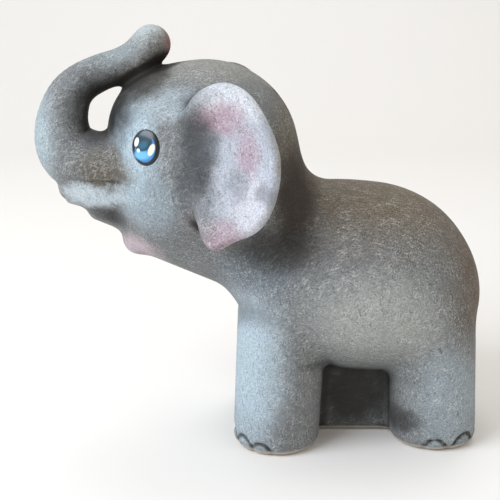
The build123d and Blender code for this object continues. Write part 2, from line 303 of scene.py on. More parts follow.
def casting_field(p):
    """Belly, rump, shoulders, neck, head, legs and the clay between them, joined softly."""
    q = mirrored(p)
    body = ellipsoid(q, (BELLY[0], 0.0, BELLY[1]), BELLY[2:5], BELLY[5])
    body = join(body, spheroid(q, RUMP), 12.0)
    body = join(body, spheroid(q, SHOULDERS), 14.0)
    body = join(body, join(ball_cone(q, NECK), ball_cone(q, THROAT), 6.0), 8.0)
    head = join(spheroid(q, CRANIUM), spheroid(q, BROW), 8.0)
    head = join(head, spheroid(q, CHEEKS), 8.0)
    body = join(body, head, 5.0)
    body = join(body, spheroid(q, CHIN), 6.0)
    legs = join(oval_column(q, HIND_LEG), oval_column(q, FORE_LEG), 2.0)
    body = join(body, legs, 5.0)
    for x, half_length, half_width, rounding in INFILLS:
        body = join(body, rounded_block(q, (x, 0.0, 25.0), (half_length, half_width, 28.0), rounding),
                    4.0 if half_width < 13.0 else 6.0)
    return body


def mouth_field(p):
    """Lip and lower jaw under the trunk's root; the lip is a flat roll, rounded in plan in front."""
    front = np.clip((LIP_BEND_X - p[:, 0]) / LIP_BEND_LENGTH, 0.0, 1.0)
    flat = LIP_FLAT * np.sqrt(1.0 - front * front)
    lip = ball_cone(np.column_stack([p[:, 0], np.maximum(p[:, 1] - flat, 0.0), p[:, 2]]), LIP)
    return join(lip, ball_cone(p, JAW), 5.0)


def skin_field(p):
    """The whole animal as one skin, with nails pressed in and the soles cut flat."""
    q = mirrored(p)
    face = join(trunk_tube(q), mouth_field(q), 3.0)
    skin = join(casting_field(p), face, 4.0)
    skin = join(skin, ear_plate(q), 7.0)
    pressed = NAIL_DEPTH * nail_furrows(q) + MOUTH_DEPTH * mouth_line(q)
    return cut(skin + pressed, -p[:, 2], 6.0)


# ---- what belongs to which piece -----------------------------------------------------------------
def wall_field(p):
    """The room inside: the casting's own form, a wall's thickness in, with a boss round the hole."""
    q = mirrored(p)
    room = casting_field(p) + WALL
    boss = np.maximum(np.hypot(q[:, 0] - HOLE_X, q[:, 1]) - BOSS_RADIUS, q[:, 2] - BOSS_TOP)
    return cut(cut(room, WALL - p[:, 2], 2.0), -boss, 1.5)


def openings_field(p):
    """Coin slot through the nape, emptying hole and the recess for the stopper's flange."""
    y, up = np.abs(p[:, 1]), np.abs(p[:, 2] - SLOT_Z) - (SLOT_HALF_LENGTH - SLOT_HALF_WIDTH)
    slot = np.hypot(y, np.maximum(up, 0.0)) - SLOT_HALF_WIDTH
    slot = np.maximum(slot, np.abs(p[:, 0] - SLOT_X) - SLOT_REACH)
    out = np.hypot(p[:, 0] - HOLE_X, p[:, 1])
    hole = np.maximum(out - HOLE_RADIUS, p[:, 2] - BOSS_TOP - 6.0)
    recess = np.maximum(out - RECESS_RADIUS, p[:, 2] - RECESS_DEPTH)
    return np.minimum(slot, np.minimum(hole, recess))


def trunk_side(p):
    """Negative where the trunk is nearer than the rest of the face, positive elsewhere."""
    q = mirrored(p)
    return trunk_tube(q) - np.minimum(casting_field(p), mouth_field(q))


def ear_side(p):
    """Negative where an ear is nearer than the head, positive elsewhere."""
    q = mirrored(p)
    return ear_plate(q) - casting_field(p)


def casting_piece(p):
    """The skin where neither trunk nor ear is nearer, hollowed out, with its openings."""
    piece = np.maximum(skin_field(p), np.maximum(0.3 - trunk_side(p), 0.3 - ear_side(p)))
    piece = cut(piece, -wall_field(p), 1.0)
    return cut(piece, -openings_field(p), 1.2)


def stuck_on(p, side):
    """The skin on one side of a join, its far edge sinking slowly under the casting's skin."""
    sink = 0.15 * np.clip(side, 0.0, 4.0)
    return np.maximum(skin_field(p) + sink, side - 4.0)


def trunk_piece(p):
    """The trunk up to its tip, and the clay that seats it on the face and the forehead."""
    return np.maximum(stuck_on(p, trunk_side(p)), p[:, 0] + 60.0)


def ear_piece(p):
    """One ear with the clay that joins it to the head, for points with positive y."""
    return np.maximum(stuck_on(p, ear_side(p)), 15.0 - p[:, 1])


def slope(field, p, here=None, reach=0.04):
    """Steepest direction of a field, by differences from its values here if they are given."""
    steps = np.eye(3) * reach
    if here is not None:
        return np.column_stack([field(p + s) - here for s in steps]) / reach
    return np.column_stack([field(p + s) - field(p - s) for s in steps]) / (2 * reach)


def unit(v):
    """Each row at length one."""
    return v / np.maximum(np.linalg.norm(v, axis=1, keepdims=True), 1e-12)


def hollowness(p, normals):
    """How shut in a point is: how much less room it has along its normal than a flat face would."""
    shut = np.zeros(len(p))
    for reach, weight in ((1.5, 0.30), (4.0, 0.30), (9.0, 0.25), (18.0, 0.15)):
        room = skin_field(p + normals * reach)
        shut += weight * np.clip(1.0 - room / reach, 0.0, 1.6)
    return np.clip(shut, 0.0, 1.0)


def thinness(p, normals):
    """How far a point stands out: how soon a line into the clay comes near another side."""
    thin = np.zeros(len(p))
    for reach, weight in ((3.0, 0.5), (7.0, 0.5)):
        thin += weight * np.clip(1.0 + skin_field(p - normals * reach) / reach, 0.0, 1.0)
    return np.clip(thin, 0.0, 1.0)


# ---- from a field to a mesh ----------------------------------------------------------------------
BLOCK = 8


def zero_surface(field, low, high, step):
    """Vertices and quads of the surface where a field is zero.

    A grid of cells covers the box; only blocks of cells that the surface can reach are measured.
    Each cell that the surface crosses gets one vertex, the mean of the crossings on its twelve
    edges, and each grid edge that it crosses gets one quad between the four cells round it.
    """
    counts = np.ceil((np.array(high) - np.array(low)) / step / BLOCK).astype(int)
    low = np.array(low, float)
    blocks = np.stack(np.meshgrid(*[np.arange(n) for n in counts], indexing="ij"), -1).reshape(-1, 3)
    centres = low + (blocks + 0.5) * BLOCK * step
    blocks = blocks[np.abs(field(centres)) < 1.15 * BLOCK * step]
    size = counts * BLOCK + 1
    corner = np.stack(np.meshgrid(*[np.arange(BLOCK + 1)] * 3, indexing="ij"), -1).reshape(-1, 3)
    wanted = np.zeros(size, bool)
    places = (blocks[:, None] * BLOCK + corner[None]).reshape(-1, 3)
    wanted[places[:, 0], places[:, 1], places[:, 2]] = True
    places = np.argwhere(wanted)
    values = np.full(size, np.nan)
    values[wanted] = field(low + places * step)

    inside = values < 0.0
    known = ~np.isnan(values)
    cell_known = np.ones(size - 1, bool)
    cell_sum = np.zeros(size - 1, int)
    for dx, dy, dz in np.ndindex(2, 2, 2):
        part = np.s_[dx:size[0] - 1 + dx, dy:size[1] - 1 + dy, dz:size[2] - 1 + dz]
        cell_known &= known[part]
        cell_sum += inside[part]
    crossed = cell_known & (cell_sum > 0) & (cell_sum < 8)
    cells = np.argwhere(crossed)
    number = np.full(size - 1, -1)
    number[crossed] = np.arange(len(cells))

    total = np.zeros((len(cells), 3))
    hits = np.zeros(len(cells))
    for axis in range(3):
        for a, b in ((0, 0), (0, 1), (1, 0), (1, 1)):
            start = np.insert([a, b], axis, 0)
            end = np.insert([a, b], axis, 1)
            v0 = values[tuple((cells + start).T)]
            v1 = values[tuple((cells + end).T)]
            hit = (v0 < 0.0) != (v1 < 0.0)
            share = np.where(hit, v0 / np.where(hit, v0 - v1, 1.0), 0.0)
            point = start + share[:, None] * (end - start)
            total += np.where(hit[:, None], point, 0.0)
            hits += hit
    verts = low + (cells + total / hits[:, None]) * step

    quads = []
    for axis in range(3):
        b, c = (axis + 1) % 3, (axis + 2) % 3
        first = [slice(None)] * 3
        second = [slice(None)] * 3
        first[axis], second[axis] = slice(0, -1), slice(1, None)
        here, there = inside[tuple(first)], inside[tuple(second)]
        both = known[tuple(first)] & known[tuple(second)]
        edges = np.argwhere((here != there) & both)
        leaving = here[tuple(edges.T)]
        step_b, step_c = np.eye(3, dtype=int)[b], np.eye(3, dtype=int)[c]
        ring = [edges - step_b - step_c, edges - step_c, edges, edges - step_b]
        ok = np.all([(r >= 0).all(1) & (r < size - 1).all(1) for r in ring], axis=0)
        ids = np.stack([number[tuple(np.clip(r, 0, size - 2).T)] for r in ring], 1)
        ok &= (ids >= 0).all(1)
        ids[~leaving] = ids[~leaving][:, ::-1]
        quads.append(ids[ok])
    return verts, np.vstack(quads)


def neighbours_mean(verts, quads):
    """Mean of the vertices that share a quad's edge with each vertex."""
    ends = np.vstack([quads[:, [0, 1]], quads[:, [1, 2]], quads[:, [2, 3]], quads[:, [3, 0]]])
    count = np.bincount(ends.ravel(), minlength=len(verts))
    total = np.zeros_like(verts)
    for k in range(3):
        total[:, k] = np.bincount(ends[:, 0], weights=verts[ends[:, 1], k], minlength=len(verts))
        total[:, k] += np.bincount(ends[:, 1], weights=verts[ends[:, 0], k], minlength=len(verts))
    return total / np.maximum(count, 1)[:, None]


def settle(field, verts, quads, step, rounds=2):
    """Slides vertices along the surface to even the quads, then moves them onto the surface."""
    for turn in range(rounds):
        here = field(verts)
        grad = slope(field, verts, here)
        square = np.maximum(np.sum(grad * grad, axis=1), 0.25)
        shift = neighbours_mean(verts, quads) - verts
        shift -= grad * (np.sum(shift * grad, axis=1) / square)[:, None]
        move = -(here / square)[:, None] * grad
        length = np.linalg.norm(move, axis=1, keepdims=True)
        verts = verts + move * np.minimum(1.0, 0.5 * step / np.maximum(length, 1e-9)) + 0.5 * shift
    here = field(verts)
    grad = slope(field, verts, here)
    move = -(here / np.maximum(np.sum(grad * grad, axis=1), 0.25))[:, None] * grad
    length = np.linalg.norm(move, axis=1, keepdims=True)
    return verts + move * np.minimum(1.0, 0.4 * step / np.maximum(length, 1e-9))


def clay_mesh(name, field, low, high, step):
    """Mesh of a clay piece with its true normals and the maps that its paint follows."""
    verts, quads = zero_surface(field, low, high, step)
    verts = settle(field, verts, quads, step)
    depth = skin_field(verts)
    outside = np.abs(depth) < 0.7
    normals = unit(slope(field, verts))
    normals[outside] = unit(slope(skin_field, verts[outside]))
    maps = {
        # shut_in sets painted shade: the paint darkens where the form is shut in, in the nail furrows
        # and along the mouth line
        "shut_in": (hollowness(verts, normals) + 0.3 * nail_furrows(mirrored(verts))
                    + 0.1 * mouth_line(verts)),
        "raised": thinness(verts, normals),
        "bare": np.clip(np.maximum((-depth - 0.8) / 0.6, 1.2 - 2.0 * verts[:, 2]), 0.0, 1.0),
        "outer": np.clip(4.0 * normals[:, 1] * np.sign(verts[:, 1]) + 0.2, 0.0, 1.0),
    }
    return make_mesh(name, verts * MM, quads, normals, maps)


def soft_mesh(name, field, low, high, step):
    """Mesh of a moulded plastic piece with its true normals."""
    verts, quads = zero_surface(field, low, high, step)
    verts = settle(field, verts, quads, step, rounds=1)
    return make_mesh(name, verts * MM, quads, unit(slope(field, verts)))


def make_mesh(name, verts, quads, normals=None, maps=None, tris=None):
    """Puts arrays of vertices, four-sided and three-sided faces into a smooth mesh."""
    mesh = bpy.data.meshes.new(name)
    tris = np.empty((0, 3), int) if tris is None else tris
    corners = np.concatenate([quads.ravel(), tris.ravel()]).astype(np.int32)
    sides = np.concatenate([np.full(len(quads), 4), np.full(len(tris), 3)])
    mesh.vertices.add(len(verts))
    mesh.vertices.foreach_set("co", verts.astype(np.float32).ravel())
    mesh.loops.add(len(corners))
    mesh.loops.foreach_set("vertex_index", corners)
    mesh.polygons.add(len(sides))
    mesh.polygons.foreach_set("loop_start", (np.cumsum(sides) - sides).astype(np.int32))
    mesh.polygons.foreach_set("use_smooth", np.ones(len(sides), bool))
    mesh.update(calc_edges=True)
    mesh.validate()
    for key, values in (maps or {}).items():
        layer = mesh.attributes.new(key, "FLOAT", "POINT")
        layer.data.foreach_set("value", values.astype(np.float32))
    if normals is not None:
        mesh.normals_split_custom_set_from_vertices(normals)
    return mesh


def place(mesh, material, body, node, slot):
    """Links a piece, which rides on a body and stands for a CAD node, whose imported mesh is hidden.
    The slot is not used.
    """
    mesh.materials.append(material)
    piece = bpy.data.objects.new(mesh.name, mesh)
    bpy.context.scene.collection.objects.link(piece)
    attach(piece, body)
    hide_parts(node)
    return piece


# ---- eyes and stopper ----------------------------------------------------------------------------
def eye_mesh(name, side):
    """A lens of enamel on the head's skin.

    A grid of turns and rings covers a tilted oval.  Each point is dropped across the body onto the
    skin, then raised along the skin's normal by the height of a shallow dome; past the oval's edge
    the rings turn under and close in the clay.  A fan of triangles closes each pole.
    """
    turns, rings = 64, 18
    reach = np.linspace(0.0, 1.0, rings)
    out = np.concatenate([reach[1:], [0.98, 0.5]])
    height = np.concatenate([EYE_DOME * (1.0 - reach[1:] ** 2.6) ** 0.6 + 0.05, [-0.5, -0.5]])
    angle = np.linspace(0.0, 2 * np.pi, turns, endpoint=False)
    across = np.concatenate([[0.0], np.outer(out, np.cos(angle)).ravel(), [0.0]])
    up = np.concatenate([[0.0], np.outer(out, np.sin(angle)).ravel(), [0.0]])
    height = np.concatenate([[EYE_DOME + 0.05], np.repeat(height, turns), [-0.5]])
    tilt = math.radians(EYE_TILT)
    x = EYE_X + math.cos(tilt) * across * EYE_HALF_WIDTH + math.sin(tilt) * up * EYE_HALF_HEIGHT
    z = EYE_Z - math.sin(tilt) * across * EYE_HALF_WIDTH + math.cos(tilt) * up * EYE_HALF_HEIGHT
    flat = np.column_stack([x, np.zeros(len(x)), z])
    near, far = np.full(len(flat), 12.0), np.full(len(flat), 60.0)
    for halving in range(24):
        flat[:, 1] = 0.5 * (near + far)
        inside = skin_field(flat) < 0.0
        near, far = np.where(inside, flat[:, 1], near), np.where(inside, far, flat[:, 1])
    verts = flat + unit(slope(skin_field, flat)) * height[:, None]
    verts[:, 1] *= side
    turn = np.arange(turns)
    after = (turn + 1) % turns
    ring = 1 + turns * np.arange(len(out) - 1)[:, None]
    outer = ring + turns
    quads = np.stack([ring + turn, outer + turn, outer + after, ring + after], -1).reshape(-1, 4)
    last, end = 1 + turns * (len(out) - 1), len(verts) - 1
    tris = np.vstack([
        np.column_stack([np.zeros(turns, int), 1 + turn, 1 + after]),
        np.column_stack([np.full(turns, end), last + after, last + turn]),
    ])
    if side > 0:
        quads, tris = quads[:, ::-1], tris[:, ::-1]
    return make_mesh(name, verts * MM, quads, maps={"eye_across": across, "eye_up": up}, tris=tris)


def puck(out, z, radius, low, high, rounding):
    """Distance to an upright cylinder with rounded edges."""
    middle, half = 0.5 * (low + high), 0.5 * (high - low)
    a, b = out - radius + rounding, np.abs(z - middle) - half + rounding
    outside = np.hypot(np.maximum(a, 0.0), np.maximum(b, 0.0))
    return outside + np.minimum(np.maximum(a, b), 0.0) - rounding


def plug_field(p):
    """Flange, neck and bead of the stopper, with the hollow under it and the tab's groove."""
    out, z = np.hypot(p[:, 0] - HOLE_X, p[:, 1]), p[:, 2]
    plug = join(puck(out, z, FLANGE_RADIUS, FLANGE_Z0, FLANGE_Z1, 0.7),
                puck(out, z, PLUG_NECK_RADIUS, FLANGE_Z0, PLUG_TOP, 1.6), 0.6)
    bead = np.hypot(out - BEAD_RADIUS + 1.6, z - 0.5 * (BEAD_Z0 + BEAD_Z1)) - 1.6
    plug = join(plug, bead, 0.8)
    plug = cut(plug, -puck(out, z, WELL_RADIUS, -6.0, WELL_TOP, 1.0), 0.5)
    groove = np.hypot(p[:, 0] - HINGE_X, z - HINGE_Z) - GROOVE_RADIUS
    below = np.maximum(np.abs(p[:, 0] - HINGE_X) - GROOVE_RADIUS, z - HINGE_Z)
    pocket = np.maximum(np.abs(p[:, 0] - HINGE_X - 1.5) - 1.5, z - HINGE_Z - GROOVE_RADIUS)
    groove = np.minimum(groove, np.minimum(below, pocket))
    groove = np.maximum(groove, np.abs(p[:, 1]) - TAB_HALF_WIDTH - 0.4)
    return cut(plug, -groove, 0.3)


def tab_field(p):
    """Flat tongue with a round end, a barrel at its root and three ridges for a fingernail."""
    x, y, z = p[:, 0] - HINGE_X, np.abs(p[:, 1]), p[:, 2] - HINGE_Z
    straight = TAB_LENGTH - TAB_HALF_WIDTH
    out = np.hypot(np.maximum(x - straight, 0.0), y) - TAB_HALF_WIDTH
    a = np.maximum(out, -x)
    tongue = cut(a, np.abs(z) - TAB_HALF_THICKNESS + 0.1, 0.7)
    ridge = np.full(len(p), 60.0)
    for place_x in (9.5, 11.2, 12.9):
        aside = np.maximum(y - 2.6, 0.0) + np.abs(z) * 0.6
        ridge = np.minimum(ridge, np.hypot(x - place_x, aside) - 0.42)
    barrel = np.maximum(np.hypot(x, z) - HINGE_RADIUS, y - TAB_HALF_WIDTH)
    return join(join(tongue, barrel, 0.3), np.maximum(ridge, np.abs(z) - TAB_HALF_THICKNESS), 0.25)


CLAY_PAINT, EYE_GLAZE, VINYL = "acrylic_on_bisque", "enamel_under_clear_coat", "milky_soft_vinyl"


# ---- finishes ------------------------------------------------------------------------------------
def linear(code):
    """Linear colour of an sRGB hex code."""
    channels = [int(code[i:i + 2], 16) / 255 for i in (1, 3, 5)]
    return tuple(c / 12.92 if c < 0.04045 else ((c + 0.055) / 1.055) ** 2.4 for c in channels) + (1.0,)


# kinds of node, and settings that several share
MATHS, VECTORS, STEP = "ShaderNodeMath", "ShaderNodeVectorMath", "ShaderNodeMapRange"
MIX, NOISE, MARK = "ShaderNodeMix", "ShaderNodeTexNoise", "ShaderNodeAttribute"
PAINT, FINISH = "ShaderNodeBsdfPrincipled", "ShaderNodeOutputMaterial"
SMOOTH = {"interpolation_type": "SMOOTHSTEP"}       # inputs: value, start, end, low, high
OVER = {"data_type": "RGBA", "blend_type": "MIX"}   # inputs 0, 6, 7: share, coat below, coat above
COLOUR = 2                                          # the colour output of a mix


def add_node(tree, kind, inputs, output=0, **settings):
    """Adds a node with its settings, and fills its inputs, which are listed in order or by name.

    A link is made from a socket, a hex code is turned to linear, and any other value is set.
    The node's output of the given number is returned.
    """
    node = tree.nodes.new(kind)
    for key, value in settings.items():
        setattr(node, key, value)
    for key, value in inputs.items() if isinstance(inputs, dict) else enumerate(inputs):
        if isinstance(value, bpy.types.NodeSocket):
            tree.links.new(value, node.inputs[key])
        else:
            node.inputs[key].default_value = linear(value) if isinstance(value, str) else value
    return node.outputs[output] if len(node.outputs) else node


def new_material(name):
    """An empty node material, its tree and its output."""
    material = bpy.data.materials.new(name)
    material.use_nodes = True
    material.node_tree.nodes.clear()
    return material, material.node_tree


# soft patches of sponge-painted colour: sRGB, centre and reach in mm (back, across, up), cover. The
# pale bluish patches on the foreleg, the face in front of the eye, the brow, the trunk and the lip are
# partly painted light, the cool window light on the front
PATCHES = (
    ("#5E4F3A", (14.0, 0.0, 124.0), (66.0, 56.0, 38.0), 0.94),      # back
    ("#5A4E3D", (-26.0, 0.0, 146.0), (20.0, 44.0, 36.0), 0.85),     # nape
    ("#85837C", (-66.0, 0.0, 182.0), (38.0, 34.0, 16.0), 0.70),     # crown
    ("#54412A", (62.0, 0.0, 82.0), (25.0, 80.0, 42.0), 0.90),       # rump
    ("#A3A6A2", (8.0, 42.0, 68.0), (34.0, 26.0, 24.0), 0.75),       # flank
    ("#A9BCC8", (-54.0, 38.0, 42.0), (22.0, 32.0, 46.0), 0.90),     # foreleg
    ("#95A3AB", (46.0, 36.0, 26.0), (20.0, 28.0, 30.0), 0.80),      # hind leg
    ("#5C6770", (-45.0, 30.0, 88.0), (20.0, 34.0, 13.0), 0.75),     # front of the neck
    ("#ABC0CD", (-101.0, 26.0, 140.0), (13.0, 26.0, 28.0), 0.90),   # in front of the eye
    ("#9CA9B1", (-86.0, 30.0, 164.0), (20.0, 20.0, 7.0), 0.75),     # brow
    ("#8696A0", (-92.0, 36.0, 120.0), (15.0, 24.0, 16.0), 0.75),    # cheek
    ("#9DADB4", (-147.0, 0.0, 146.0), (12.0, 40.0, 26.0), 0.85),    # outer bend of the trunk
    ("#8B979A", (-122.0, 0.0, 186.0), (26.0, 40.0, 8.0), 0.75),     # top of the trunk
    ("#B4BFBF", (-98.0, 0.0, 198.0), (13.0, 40.0, 11.0), 0.75),     # tip of the trunk
    ("#554C3F", (-113.0, 16.0, 134.0), (18.0, 22.0, 11.0), 0.90),   # root of the trunk
    ("#B3BEC4", (-121.0, 16.0, 121.0), (20.0, 26.0, 5.6), 0.90),    # lip
    ("#857A7E", (-72.0, 38.0, 112.0), (8.0, 16.0, 9.0), 0.45),      # blush on the jowl and chin
    ("#D0BAC4", (-98.0, 6.0, 97.0), (14.0, 18.0, 10.0), 0.75),
)

# the same on the outer side of the ears
EAR_PATCHES = (
    ("#B4BBC8", (-51.0, 46.0, 142.0), (24.0, 18.0, 40.0), 0.92),    # ear
    ("#D9DDE4", (-53.0, 44.0, 170.0), (22.0, 16.0, 10.0), 0.75),    # upper rim of the ear
    ("#D3D2DB", (-50.0, 48.0, 122.0), (12.0, 14.0, 18.0), 0.60),    # lower lobe
    ("#A57F8F", (-61.0, 40.0, 160.0), (13.0, 16.0, 9.0), 0.70),     # blush, three in the ear
    ("#A98496", (-50.0, 46.0, 146.0), (6.0, 16.0, 12.0), 0.62),
    ("#A98694", (-61.0, 42.0, 108.0), (10.0, 16.0, 9.0), 0.68),
    ("#A39A88", (-34.0, 50.0, 146.0), (5.0, 20.0, 30.0), 0.70),     # tan hind rim
)

# painted shade over the strokes, in the folds, under the trunk and the ears and between the legs, over
# the dark wash that the piece has there: sRGB, centre and reach in mm, cover
PAINTED_SHADE_AND_WASHES = (
    ("#0D0B09", (-115.5, 0.0, 160.0), (17.5, 60.0, 19.0), 0.97),    # inside of the trunk's bend
    ("#24201A", (-101.0, 0.0, 171.0), (15.0, 60.0, 8.0), 0.90),     # under the trunk
    ("#26211A", (-91.0, 0.0, 179.0), (7.0, 60.0, 8.0), 0.85),       # seat of the tip
    ("#7E4F4A", (-84.0, 2.0, 190.0), (5.0, 40.0, 9.0), 0.75),       # hind side of the tip
    ("#4A4035", (-108.0, 18.0, 131.0), (7.0, 20.0, 3.5), 0.60),     # corner of the mouth
    ("#25272A", (-73.0, 36.0, 145.0), (10.0, 22.0, 27.0), 0.74),    # fold in front of the ear
    ("#5F636C", (-55.0, 42.0, 132.0), (5.0, 14.0, 9.0), 0.45),      # hollows in the ear
    ("#5A5C62", (-43.0, 48.0, 127.0), (4.0, 12.0, 6.0), 0.55),
    ("#2A211A", (-29.0, 20.0, 122.0), (12.0, 60.0, 26.0), 0.88),    # behind the ear
    ("#23201D", (-38.0, 30.0, 100.0), (24.0, 30.0, 12.0), 0.75),    # under the ear
    ("#1E1C19", (1.0, 12.0, 22.0), (23.0, 20.0, 27.0), 0.93),       # between the legs
    ("#1F1D1B", (23.0, 28.0, 14.0), (9.0, 18.0, 8.0), 0.72),        # front of the hind foot
    ("#2F2E2C", (-17.0, 40.0, 43.0), (10.0, 20.0, 3.5), 0.55),      # fold of the foreleg
)

# dry strokes: turn about the line across the body, strokes per mm along and across, sRGB,
# blend, cover
STROKES = (
    (18.0, 0.15, 1.6, "#9A9A93", "SCREEN", 0.62),
    (-37.0, 0.17, 1.5, "#57554F", "MULTIPLY", 0.45),
    (74.0, 0.15, 1.7, "#959A9A", "SCREEN", 0.55),
    (-78.0, 0.15, 1.4, "#5A5852", "MULTIPLY", 0.42),
    (48.0, 0.20, 2.0, "#ACACA3", "SCREEN", 0.50),
    (-10.0, 0.13, 1.8, "#A0A29E", "SCREEN", 0.45),
)


# clay grain: start and end of the speck, cover, sRGB, blend
GRAIN = (
    (0.40, 0.72, 0.35, "#5A5B58", "SCREEN"),
    (0.58, 0.32, 0.40, "#6A6864", "MULTIPLY"),
)

# a patch fades from its full cover to none between these shares of its reach
PATCH_FULL, PATCH_GONE = 0.35, 1.3


def paint_light_and_shade_patches(tree, place, coat, patches, mask=1.0):
    """A coat with soft patches laid over it one after another, where the mask lets them."""
    for code, centre, reach, cover in patches:
        offset = add_node(tree, VECTORS, (place, centre), operation="SUBTRACT")
        offset = add_node(tree, VECTORS, (offset, reach), operation="DIVIDE")
        far = add_node(tree, VECTORS, (offset,), 1, operation="LENGTH")
        share = add_node(tree, STEP, (far, PATCH_GONE, PATCH_FULL, 0.0, cover), **SMOOTH)
        share = add_node(tree, MATHS, (share, mask), operation="MULTIPLY")
        coat = add_node(tree, MIX, {0: share, 6: coat, 7: code}, COLOUR, **OVER)
    return coat


def ceramic_paint(settings):
    """Bisque-fired ceramic under matt acrylic: sponge-painted greys, pale in front partly as painted
    light, painted shade in folds and hollows over the dark wash there, dry-brushed strokes.
    """
    material, tree = new_material(CLAY_PAINT)
    place_m = add_node(tree, "ShaderNodeTexCoord", {}, 3)
    p = add_node(tree, VECTORS, {0: place_m, "Scale": 1.0 / MM}, operation="SCALE")

    # both sides alike, and every patch's edge drifts by up to 7 mm
    drift = add_node(tree, NOISE, {"Vector": p, "Scale": 0.09, "Detail": 4.0, "Roughness": 0.6}, 1)
    drift = add_node(tree, VECTORS, (drift, (0.5, 0.5, 0.5)), operation="SUBTRACT")
    sides = add_node(tree, VECTORS, (p,), operation="ABSOLUTE")
    middle = add_node(tree, VECTORS, (p, (1.0, 0.0, 1.0)), operation="MULTIPLY")
    q = add_node(tree, VECTORS, (sides, (0.0, 1.0, 0.0), middle), operation="MULTIPLY_ADD")
    q = add_node(tree, VECTORS, (drift, (14.0, 14.0, 14.0), q), operation="MULTIPLY_ADD")
    shut_in, raised, bare, outer = (
        add_node(tree, MARK, {}, 2, attribute_name=name)
        for name in ("shut_in", "raised", "bare", "outer"))

    # sponge-painted greys, the pale bluish ones in front partly painted light, then paler on what
    # stands out
    coat = paint_light_and_shade_patches(tree, q, linear("#6D7072"), PATCHES)
    coat = paint_light_and_shade_patches(tree, q, coat, EAR_PATCHES, outer)
    share = add_node(tree, STEP, (raised, 0.50, 0.95, 0.0, 0.30), **SMOOTH)
    coat = add_node(tree, MIX, {0: share, 6: coat, 7: "#B9C0C6"}, COLOUR, **OVER)

    # dry strokes, thin where the brush ran out of paint
    speck = add_node(tree, NOISE, {"Vector": p, "Scale": 1.5, "Detail": 3.0, "Roughness": 0.65})
    relief = add_node(tree, MATHS, (speck, 0.5), operation="MULTIPLY")
    where = add_node(tree, NOISE, {"Vector": p, "Scale": 0.16, "Detail": 2.0})
    for turn, along, across, code, blend, cover in STROKES:
        turned = add_node(tree, "ShaderNodeMapping", {
            "Vector": p, "Rotation": (0.0, math.radians(turn), 0.0)}, vector_type="POINT")
        drawn = add_node(tree, VECTORS, (turned, (along, across, across)), operation="MULTIPLY")
        streak = add_node(tree, NOISE, {
            "Vector": drawn, "Scale": 1.0, "Detail": 2.0, "Roughness": 0.55})
        cover *= settings.stroke_strength
        share = add_node(tree, STEP, (streak, 0.53, 0.72, 0.0, cover), **SMOOTH)
        loaded = add_node(tree, STEP, (where, 0.30, 0.62, 0.35, 1.0), **SMOOTH)
        share = add_node(tree, MATHS, (share, loaded), operation="MULTIPLY")
        coat = add_node(tree, MIX, {0: share, 6: coat, 7: code}, COLOUR,
                        data_type="RGBA", blend_type=blend)
        relief = add_node(tree, MATHS, (relief, share), operation="ADD")

    # grain of the clay, then painted shade: dark patches, and a darkening where the form shuts the
    # light out, in hollows, nail furrows and the mouth line, over the dark wash the piece has there
    for start, end, cover, code, blend in GRAIN:
        share = add_node(tree, STEP, (speck, start, end, 0.0, cover), **SMOOTH)
        coat = add_node(tree, MIX, {0: share, 6: coat, 7: code}, COLOUR,
                        data_type="RGBA", blend_type=blend)
    coat = paint_light_and_shade_patches(tree, q, coat, PAINTED_SHADE_AND_WASHES)
    # painted shade: the paint darkens by how shut in each point is
    uneven = add_node(tree, MATHS, (speck, 0.5), operation="SUBTRACT")
    uneven = add_node(tree, MATHS, (uneven, 0.25), operation="MULTIPLY")
    shade_and_wash = add_node(tree, MATHS, (shut_in, uneven), operation="ADD")
    share = add_node(tree, STEP, (shade_and_wash, 0.16, 0.50, 0.0, 0.94), **SMOOTH)
    coat = add_node(tree, MIX, {0: share, 6: coat, 7: "#1E1B18"}, COLOUR, **OVER)

    # wiped line round the feet, and bare clay underneath and inside
    height = add_node(tree, "ShaderNodeSeparateXYZ", (p,), 2)
    uneven = add_node(tree, MATHS, (speck, 1.6), operation="MULTIPLY")
    edge = add_node(tree, MATHS, (height, uneven), operation="ADD")
    share = add_node(tree, STEP, (edge, 4.4, 2.6, 0.0, 0.70), **SMOOTH)
    coat = add_node(tree, MIX, {0: share, 6: coat, 7: "#C9C1B4"}, COLOUR, **OVER)
    share = add_node(tree, STEP, (speck, 0.4, 0.7, 0.0, 0.4), **SMOOTH)
    clay = add_node(tree, MIX, {0: share, 6: "#D9CFBF", 7: "#C9BDA9"}, COLOUR, **OVER)
    coat = add_node(tree, MIX, {0: bare, 6: coat, 7: clay}, COLOUR, **OVER)

    bump = add_node(tree, "ShaderNodeBump", {
        "Strength": 0.55, "Distance": 0.12 * MM, "Height": relief})
    roughness = add_node(tree, STEP, (speck, 0.3, 0.7, 0.60, 0.74), **SMOOTH)
    shader = add_node(tree, PAINT, {
        "Base Color": coat, "Roughness": roughness,
        "Specular IOR Level": 0.34, "IOR": 1.5, "Normal": bump})
    add_node(tree, FINISH, {"Surface": shader})
    return material


def oval_mask(tree, across, up, form, softness):
    """One inside a tilted oval of the eye's own coordinates, nought outside it."""
    x, z, half_width, half_height, turn = form
    c, s = math.cos(math.radians(turn)), math.sin(math.radians(turn))
    dx = add_node(tree, MATHS, (across, x), operation="SUBTRACT")
    dz = add_node(tree, MATHS, (up, z), operation="SUBTRACT")
    squares = []
    for from_x, from_z in ((c / half_width, s / half_width), (-s / half_height, c / half_height)):
        a = add_node(tree, MATHS, (dx, from_x), operation="MULTIPLY")
        b = add_node(tree, MATHS, (dz, from_z), operation="MULTIPLY")
        along = add_node(tree, MATHS, (a, b), operation="ADD")
        squares.append(add_node(tree, MATHS, (along, along), operation="MULTIPLY"))
    far = add_node(tree, MATHS, squares, operation="ADD")
    far = add_node(tree, MATHS, (far,), operation="SQRT")
    return add_node(tree, STEP, (far, 1.0 + softness, 1.0 - softness, 0.0, 1.0), **SMOOTH)


